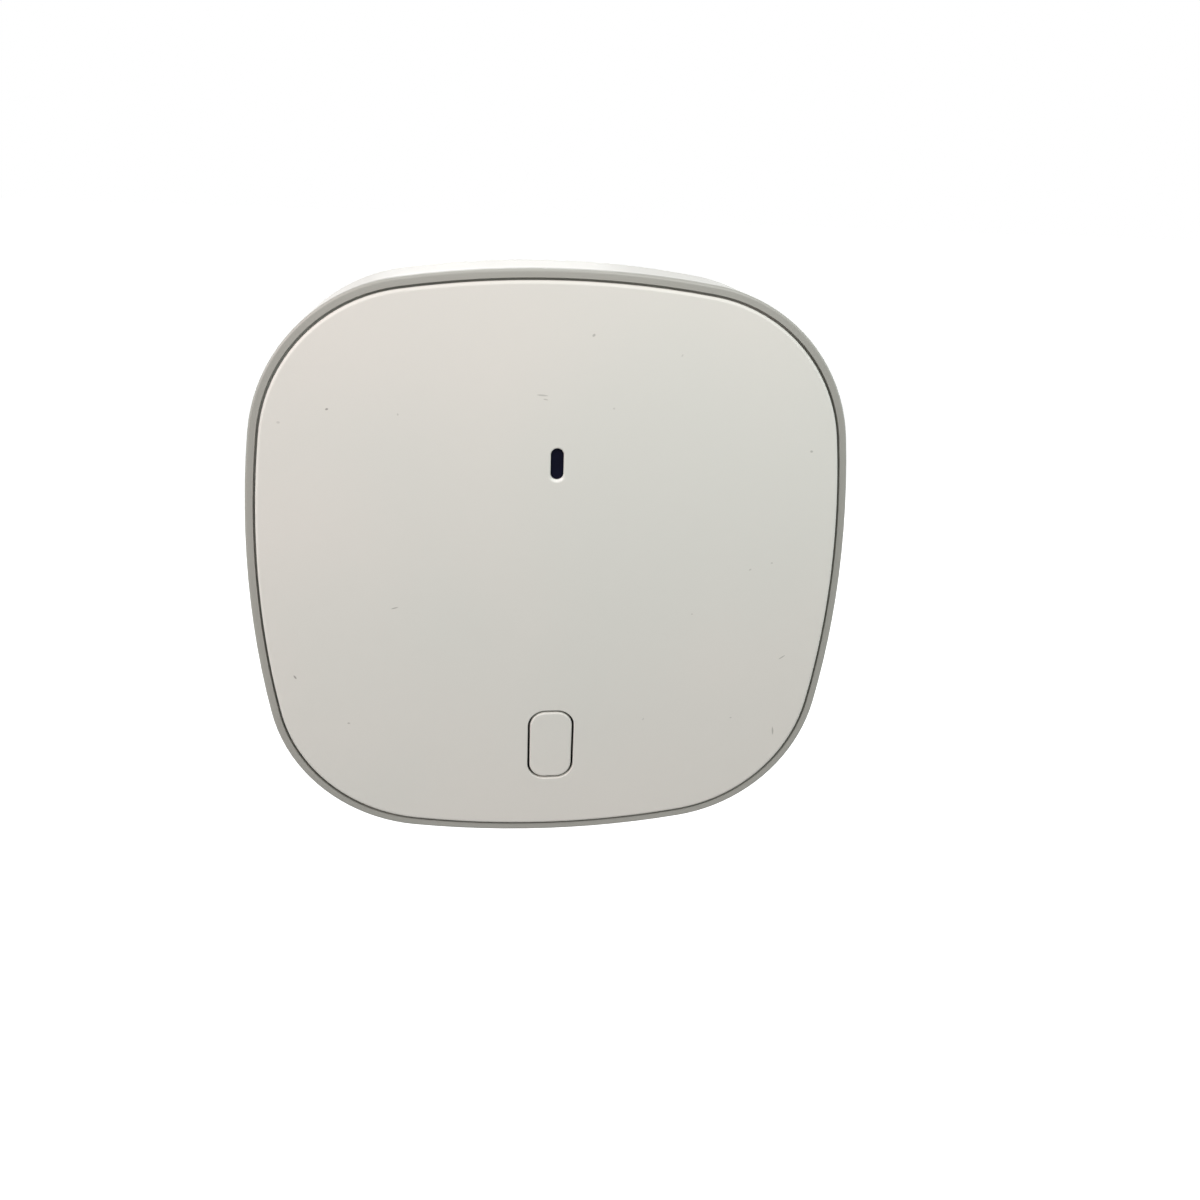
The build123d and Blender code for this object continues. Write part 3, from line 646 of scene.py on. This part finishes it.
class Piece:
    """An extra piece inside the case, put together from closed skins."""

    def __init__(self, name):
        self.name = name
        self.form = bmesh.new()

    def skin(self, rings, loop=False):
        """A closed skin through rings of equally many points, with end caps unless it runs in a loop."""
        made = [[self.form.verts.new(point) for point in ring] for ring in rings]
        following = made[1:] + made[:1] if loop else made[1:]
        for first, second in zip(made, following):
            for n, point in enumerate(first):
                after = (n + 1) % len(first)
                self.form.faces.new((point, first[after], second[after], second[n]))
        if not loop:
            self.form.faces.new(list(reversed(made[0])))
            self.form.faces.new(made[-1])

    def strip(self, path, across, width, thick, loop=False):
        """A flat strip along a path, mitred at its corners and width wide along across."""
        rings = []
        last = len(path) - 1
        for n, point in enumerate(path):
            before = point - path[n - 1] if n or loop else path[1] - point
            after = path[(n + 1) % len(path)] - point if n < last or loop else before
            middle = (before.normalized() + after.normalized()).normalized()
            side = middle.cross(across) * (thick / 2 / middle.dot(after.normalized()))
            half = across * (width / 2)
            right, left = point + half, point - half
            rings.append([right + side, right - side, left - side, left + side])
        self.skin(rings, loop)

    def turned(self, middle, profile, axis=BACKWARDS, steps=32, loop=False):
        """A body of rotation about axis through middle, from a profile of (radius, height) pairs."""
        side = axis.orthogonal().normalized()
        other = axis.cross(side)
        rings = [
            [middle + axis * height + (side * cos(a) + other * sin(a)) * radius for a in turns(steps)]
            for radius, height in profile
        ]
        self.skin(rings, loop)

    def solder(self, corner, out, up, width, rise=SOLDER_RISE):
        """A hollow fillet in the corner between a wall and the board, running out and up from it."""
        along = out.cross(up)
        curve = [corner + out * run + up * climb for run, climb in fillet_arc(rise)]
        section = [corner - (out + up) * SOLDER_SINK, *curve]
        self.skin([[point + along * (side * width / 2) for point in section] for side in (-1, 1)])

    def cone(self, middle, up, radius):
        """A hollow cone of solder round an upright lead."""
        profile = [(radius + run, climb) for run, climb in fillet_arc(SOLDER_RISE)]
        self.turned(middle, [(profile[0][0], -SOLDER_SINK), *profile], up)

    def done(self, finish):
        """Makes the object with a finish and a slot, smooth with crisp edges, and fixes it to the case."""
        bmesh.ops.recalc_face_normals(self.form, faces=self.form.faces)
        mesh = bpy.data.meshes.new(self.name)
        self.form.to_mesh(mesh)
        self.form.free()
        for polygon in mesh.polygons:
            polygon.use_smooth = True
        mesh.set_sharp_from_angle(angle=CREASE)
        mesh.materials.append(EXTRA_FINISHES[finish])
        piece = bpy.data.objects.new(self.name, mesh)
        bpy.context.scene.collection.objects.link(piece)
        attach(piece, "case")


def islands(node):
    """The (lowest corner, highest corner) of each separate solid in a CAD node."""
    form = bmesh.new()
    form.from_mesh(frame["nodes"][node].data)
    bmesh.ops.remove_doubles(form, verts=form.verts, dist=WELD)
    left = set(form.verts)
    boxes = []
    while left:
        reached = [left.pop()]
        points = []
        while reached:
            vertex = reached.pop()
            points.append(vertex.co.copy())
            for edge in vertex.link_edges:
                other = edge.other_vert(vertex)
                if other in left:
                    left.remove(other)
                    reached.append(other)
        boxes.append([Vector(pick(p[i] for p in points) for i in range(3)) for pick in (min, max)])
    form.free()
    return sorted(boxes, key=lambda box: (box[0].x, box[0].z))


def at_depth(point, depth):
    """The point moved along Y to a depth."""
    return Vector((point.x, depth, point.z))


def make_contacts():
    """Gold contacts on the socket's tongue, with tails that bend down to the board."""
    low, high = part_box("socket_tongue")
    middle = middle_of((low, high))
    face = middle.y - TONGUE_THICKNESS / 2
    foot = BOARD_FRONT - CONTACT_SHEET / 2
    piece = Piece("socket_contacts")
    for n in range(CONTACTS):
        x = middle.x + (n - (CONTACTS - 1) / 2) * CONTACT_PITCH
        nose = [
            (face + CONTACT_SHEET, low.z + CONTACT_NOSE / 2),
            (face, low.z + CONTACT_NOSE),
            (face, high.z),
        ]
        tail = [
            (middle.y, high.z - CONTACT_NOSE),
            (middle.y, high.z + TAIL_RUN),
            (foot, high.z + 2 * TAIL_RUN),
            (foot, high.z + 2 * TAIL_RUN + LEG_FOOT),
        ]
        for path in (nose, tail):
            piece.strip([Vector((x, y, z)) for y, z in path], ACROSS, CONTACT_WIDTH, CONTACT_SHEET)
    piece.done("gold")


def bent_legs(piece, node, width, rise, heights):
    """Sheet-metal legs that leave a part's left and right sides, and stand on the board's front."""
    low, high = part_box(node)
    foot = BOARD_FRONT - LEG_SHEET / 2
    for side, x in ((-1, low.x), (1, high.x)):
        for z in heights:
            bend = x + side * LEG_OUT
            path = [
                (x - side * LEG_SHEET, foot - rise),
                (bend, foot - rise),
                (bend + side * LEG_SHEET, foot),
                (bend + side * LEG_FOOT, foot),
            ]
            piece.strip([Vector((px, py, z)) for px, py in path], UPWARDS, width, LEG_SHEET)


def switch_leg_heights():
    """Heights of the switch's legs."""
    middle = middle_of(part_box("switch_base"))
    return [middle.z - SWITCH_LEG_SPREAD, middle.z + SWITCH_LEG_SPREAD]


def socket_tab_heights():
    """Heights of the socket's tabs, both over the board."""
    low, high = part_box("power_socket")
    return [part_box("main_board")[0].z + TAB_WIDTH, high.z - TAB_INSET]


def make_legs():
    """Legs of the push switch and tabs of the power socket."""
    piece = Piece("switch_legs")
    bent_legs(piece, "switch_base", SWITCH_LEG_WIDTH, SWITCH_LEG_RISE, switch_leg_heights())
    piece.done("solder")
    piece = Piece("socket_tabs")
    bent_legs(piece, "power_socket", TAB_WIDTH, TAB_RISE, socket_tab_heights())
    piece.done("solder")


def make_chip_ends():
    """Metal end caps of the chip parts, wrapped round both ends."""
    piece = Piece("chip_ends")
    for low, high in islands("chip_parts"):
        top, left, right = high.y + CAP_PROUD, low.z - CAP_PROUD, high.z + CAP_PROUD
        section = ((low.y, left), (top, left), (top, right), (low.y, right))
        left_end = (low.x - CAP_PROUD, low.x + CAP_LENGTH)
        right_end = (high.x - CAP_LENGTH, high.x + CAP_PROUD)
        for ends in (left_end, right_end):
            piece.skin([[Vector((x, y, z)) for y, z in section] for x in ends])
    piece.done("solder")


def make_solder():
    """Solder fillets at the feet of the parts, on both sides of the board."""
    piece = Piece("solder_joints")
    for low, high in islands("chip_parts"):
        middle = at_depth(middle_of((low, high)), BOARD_BACK)
        for side, x in ((-1, low.x - CAP_PROUD), (1, high.x + CAP_PROUD)):
            piece.solder(Vector((x, middle.y, middle.z)), ACROSS * side, BACKWARDS, high.z - low.z)
    low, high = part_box("processor")
    middle = at_depth(middle_of((low, high)), BOARD_BACK)
    half = (high.x - low.x) / 2
    for out in (ACROSS, -ACROSS, UPWARDS, -UPWARDS):
        for n in range(PROCESSOR_LEGS):
            along = out.cross(BACKWARDS) * ((n - (PROCESSOR_LEGS - 1) / 2) * PROCESSOR_LEG_PITCH)
            piece.solder(middle + out * half + along, out, BACKWARDS, PROCESSOR_LEG_WIDTH)
    for node in ("crystal", "inductor"):
        low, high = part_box(node)
        middle = at_depth(middle_of((low, high)), BOARD_BACK)
        half, width = (high.x - low.x) / 2, (high.z - low.z) / 2
        for out in (ACROSS, -ACROSS):
            piece.solder(middle + out * half, out, BACKWARDS, width)
    for low, high in islands("capacitors"):
        middle = at_depth(middle_of((low, high)), BOARD_BACK)
        for out in (UPWARDS, -UPWARDS):
            piece.solder(middle + out * (high.z - low.z) / 2, out, BACKWARDS, PROCESSOR_LEG_PITCH)
    low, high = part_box("aerial")
    for offset in (AERIAL_SHEET / 2, AERIAL_LEG_PITCH + AERIAL_SHEET / 2):
        foot = Vector((low.x + offset, BOARD_BACK, middle_of((low, high)).z))
        piece.cone(foot, BACKWARDS, (high.z - low.z) / 2)
    for node, heights in (("switch_base", switch_leg_heights()), ("power_socket", socket_tab_heights())):
        low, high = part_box(node)
        for out, x in ((-ACROSS, low.x), (ACROSS, high.x)):
            for z in heights:
                end = Vector((x, BOARD_FRONT, z)) + out * (LEG_OUT + LEG_FOOT)
                piece.solder(end, out, -BACKWARDS, SWITCH_LEG_WIDTH, rise=LEG_SHEET)
    low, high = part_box("status_led")
    middle = at_depth(middle_of((low, high)), BOARD_FRONT)
    for out in (UPWARDS, -UPWARDS):
        piece.solder(middle + out * (high.z - low.z) / 2, out, -BACKWARDS, high.x - low.x)
    piece.done("solder")


def make_radio_print():
    """Edge pads of the radio board, soldered down, and its printed aerial."""
    low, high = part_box("wifi_board")
    middle = middle_of((low, high))
    pads = Piece("radio_pads")
    joints = Piece("radio_joints")
    for out, x in ((-ACROSS, low.x), (ACROSS, high.x)):
        for n in range(EDGE_PADS):
            z = low.z + EDGE_PAD_PITCH * (n + 1)
            edge = Vector((x, high.y, z))
            foot = Vector((x, low.y, z))
            pads.strip([edge - out * EDGE_PAD_LENGTH, edge, foot], UPWARDS, EDGE_PAD_WIDTH, FOIL)
            joints.solder(foot, out, BACKWARDS, EDGE_PAD_WIDTH, rise=(high.y - low.y) * EDGE_JOINT_RISE)
    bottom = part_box("wifi_can")[1].z + TRACE_MARGIN
    top = high.z - TRACE_MARGIN
    path = []
    for n in range(TRACE_RUNS):
        x = middle.x + (n - (TRACE_RUNS - 1) / 2) * TRACE_PITCH
        ends = (bottom, top) if n % 2 else (top, bottom)
        path += [Vector((x, high.y, z)) for z in ends]
    pads.strip(path, BACKWARDS, FOIL, TRACE_WIDTH)
    pads.done("gold")
    joints.done("solder")


def make_board_pads():
    """Round pads at the board's screws, and a row of test pads on its front."""
    piece = Piece("board_pads")
    ring = [
        (SCREW_PAD_INNER, -FOIL),
        (SCREW_PAD_OUTER, -FOIL),
        (SCREW_PAD_OUTER, FOIL / 2),
        (SCREW_PAD_INNER, FOIL / 2),
    ]
    for box in islands("board_screws"):
        for depth, axis in ((BOARD_FRONT, -BACKWARDS), (BOARD_BACK, BACKWARDS)):
            piece.turned(at_depth(middle_of(box), depth), ring, axis, loop=True)
    x, z = TEST_PADS_PLACE
    disc = [(TEST_PAD_RADIUS, -FOIL), (TEST_PAD_RADIUS, FOIL / 2), (TEST_PAD_RADIUS - FOIL, FOIL)]
    for n in range(TEST_PADS):
        place = Vector((x + n * TEST_PAD_PITCH, BOARD_FRONT, z))
        piece.turned(place, disc, -BACKWARDS)
    piece.done("gold")


def make_board_print():
    """White outlines printed on the board's back round its larger parts."""
    piece = Piece("board_outlines")
    boxes = [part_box(node) for node in ("processor", "crystal", "inductor", "radio_can", "wifi_board")]
    for low, high in boxes + islands("capacitors"):
        left, right = low.x - PRINT_SPACE, high.x + PRINT_SPACE
        bottom, top = low.z - PRINT_SPACE, high.z + PRINT_SPACE
        corners = ((left, bottom), (right, bottom), (right, top), (left, top))
        path = [Vector((x, BOARD_BACK, z)) for x, z in corners]
        piece.strip(path, BACKWARDS, 2 * PRINT_SHEET, PRINT_WIDTH, loop=True)
    low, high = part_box("sounder")
    radius = (high.x - low.x) / 2 + PRINT_SPACE
    ring = [
        (radius, -PRINT_SHEET),
        (radius + PRINT_WIDTH, -PRINT_SHEET),
        (radius + PRINT_WIDTH, PRINT_SHEET),
        (radius, PRINT_SHEET),
    ]
    piece.turned(at_depth(middle_of((low, high)), BOARD_BACK), ring, steps=64, loop=True)
    piece.done("ink")


def make_can_dimples():
    """Small pressed dimples along the upright sides of both screening cans."""
    piece = Piece("can_dimples")
    dimple = dome_profile(DIMPLE_RADIUS, DIMPLE_RISE, DIMPLE_RISE, DIMPLE_ANGLES)
    for node in ("wifi_can", "radio_can"):
        low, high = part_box(node)
        middle = middle_of((low, high))
        depth = low.y + DIMPLE_HEIGHT
        for out in (ACROSS, -ACROSS, UPWARDS, -UPWARDS):
            half = abs((high - low).dot(out)) / 2
            span = abs((high - low).dot(out.cross(BACKWARDS)))
            count = int(span / DIMPLE_PITCH) - 1
            for n in range(count):
                along = out.cross(BACKWARDS) * ((n - (count - 1) / 2) * DIMPLE_PITCH)
                foot = at_depth(middle + out * half + along, depth)
                piece.turned(foot, dimple, out, steps=16)
    piece.done("solder")


def make_winding():
    """Copper winding and its core in the top of the inductor."""
    low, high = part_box("inductor")
    middle = middle_of((low, high))
    floor = high.y - WINDING_SINK
    piece = Piece("inductor_winding")
    for n in range(WINDING_TURNS):
        radius = WINDING_RADIUS + (n % 2) * WINDING_WIRE
        lift = floor + (n + 0.5) * WINDING_WIRE / 2
        profile = [(radius + WINDING_WIRE * cos(a), WINDING_WIRE * sin(a)) for a in turns(WIRE_SIDES)]
        piece.turned(at_depth(middle, lift), profile, steps=48, loop=True)
    piece.done("copper")
    piece = Piece("inductor_core")
    profile = [
        (CORE_RADIUS, floor - CORE_SINK),
        (CORE_RADIUS, high.y - CORE_BEVEL),
        (CORE_RADIUS - CORE_BEVEL, high.y),
    ]
    piece.turned(at_depth(middle, 0.0), profile, steps=48)
    piece.done("core")


def make_sounder_disc():
    """Ridged brass disc that shows in the sounder's sound hole."""
    low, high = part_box("sounder")
    middle = at_depth(middle_of((low, high)), high.y - DISC_DEPTH)
    profile = [(DISC_RADIUS, -DISC_RIDGE)]
    for n in range(DISC_RIDGES):
        radius = DISC_RADIUS * (1 - n / DISC_RIDGES)
        profile += [(radius, DISC_RIDGE), (radius - DISC_RADIUS / DISC_RIDGES / 2, 0.0)]
    piece = Piece("sounder_disc")
    piece.turned(middle, profile)
    piece.done("brass")


def make_lamp_dome():
    """Rounded resin drop on the lamp's window."""
    low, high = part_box("status_led")
    middle = at_depth(middle_of((low, high)), low.y)
    profile = dome_profile((high.x - low.x) * DOME_SHARE, DOME_RISE, SOLDER_SINK, DOME_ANGLES)
    piece = Piece("lamp_dome")
    piece.turned(middle, profile, -BACKWARDS)
    piece.done("resin")


def make_capacitor_marks():
    """Dark segment printed on each capacitor's top."""
    piece = Piece("capacitor_marks")
    sweep = pi - 2 * SEGMENT_ANGLE
    arc = [SEGMENT_ANGLE + sweep * n / SEGMENT_STEPS for n in range(SEGMENT_STEPS + 1)]
    for box in islands("capacitors"):
        middle = at_depth(middle_of(box), box[1].y)
        outline = [middle + (ACROSS * cos(a) + UPWARDS * sin(a)) * SEGMENT_RADIUS for a in arc]
        faces = (-BACKWARDS * PRINT_SHEET, BACKWARDS * PRINT_SHEET)
        piece.skin([[point + offset for point in outline] for offset in faces])
    piece.done("paint")


make_contacts()
make_legs()
make_chip_ends()
make_solder()
make_radio_print()
make_board_pads()
make_board_print()
make_can_dimples()
make_winding()
make_sounder_disc()
make_lamp_dome()
make_capacitor_marks()


def floor_paint():
    """Grey floor that also glows, to the camera alone, so that it looks white."""
    finish = Finish("floor_paint")
    seen = finish.node("ShaderNodeLightPath", out="Is Camera Ray")
    glow = finish.mix(seen, BLACK, (FLOOR_GLOW, FLOOR_GLOW, FLOOR_GLOW, 1.0))
    return finish.feed(
        base_color=FLOOR_COLOUR,
        roughness=0.9,
        specular_ior_level=0.0,
        emission_color=glow,
        emission_strength=1.0,
    )


def make_floor():
    """Plain floor below the hub, which hangs free of it."""
    mesh = bpy.data.meshes.new("floor")
    half = FLOOR_SIDE / 2
    level = cad_box[0].z - FLOOR_DROP
    corners = [(-half, -half, level), (half, -half, level), (half, half, level), (-half, half, level)]
    mesh.from_pydata(corners, [], [(0, 1, 2, 3)])
    floor = bpy.data.objects.new("floor", mesh)
    bpy.context.scene.collection.objects.link(floor)
    mesh.materials.append(floor_paint())


def make_world():
    """Even pale surroundings, plain white to the camera and in reflections."""
    world = bpy.data.worlds.new("studio")
    bpy.context.scene.world = world
    shading = Shading(world)
    straight = shading.node("ShaderNodeLightPath", out="Is Camera Ray")
    mirrored = shading.node("ShaderNodeLightPath", out="Is Glossy Ray")
    seen = straight.math("MAXIMUM", mirrored)
    strength = shading.mix(seen, WORLD_STRENGTH, 1.0, NUMBER_MIX)
    colour = shading.mix(seen, WORLD_COLOUR, WHITE)
    background = shading.node("ShaderNodeBackground", {}, {"Color": colour, "Strength": strength})
    shading.node("ShaderNodeOutputWorld", {}, (background,))


def make_lamp(name, place, side, power, colour):
    """Square soft lamp at place, turned towards the middle of the hub and not seen itself."""
    light = bpy.data.lights.new(name, "AREA")
    light.shape = "SQUARE"
    light.size = side
    light.energy = power
    light.color = colour
    lamp = bpy.data.objects.new(name, light)
    bpy.context.scene.collection.objects.link(lamp)
    lamp.location = place
    lamp.rotation_mode = "QUATERNION"
    lamp.rotation_quaternion = (-Vector(place)).to_track_quat("-Z", "Y")
    lamp.visible_camera = False


def make_camera():
    """Camera at the place and turn that put the face where the photograph has it."""
    data = bpy.data.cameras.new("camera")
    data.sensor_width = SENSOR
    data.lens = SENSOR * FOCAL_PIXELS / PHOTO_SIDE
    camera = bpy.data.objects.new("camera", data)
    bpy.context.scene.collection.objects.link(camera)
    bpy.context.scene.camera = camera
    to_camera = (
        Matrix.Rotation(CAMERA_ROLL, 3, "Z")
        @ Matrix.Rotation(CAMERA_PITCH, 3, "X")
        @ Matrix.Rotation(CAMERA_YAW, 3, "Y")
    )
    face_to_frame = Matrix.Rotation(pi / 2, 3, "X")
    turn = (face_to_frame @ to_camera.transposed()).to_4x4()
    camera.matrix_world = Matrix.Translation(CAMERA_TO_FACE + Vector((0, RING_FACE, 0))) @ turn
    data.clip_start = CLIP_START
    data.clip_end = CLIP_END


make_floor()
make_world()
for lamp_name, lamp_settings in LAMPS.items():
    make_lamp(lamp_name, *lamp_settings)
make_camera()
bpy.context.scene.view_settings.view_transform = "Standard"
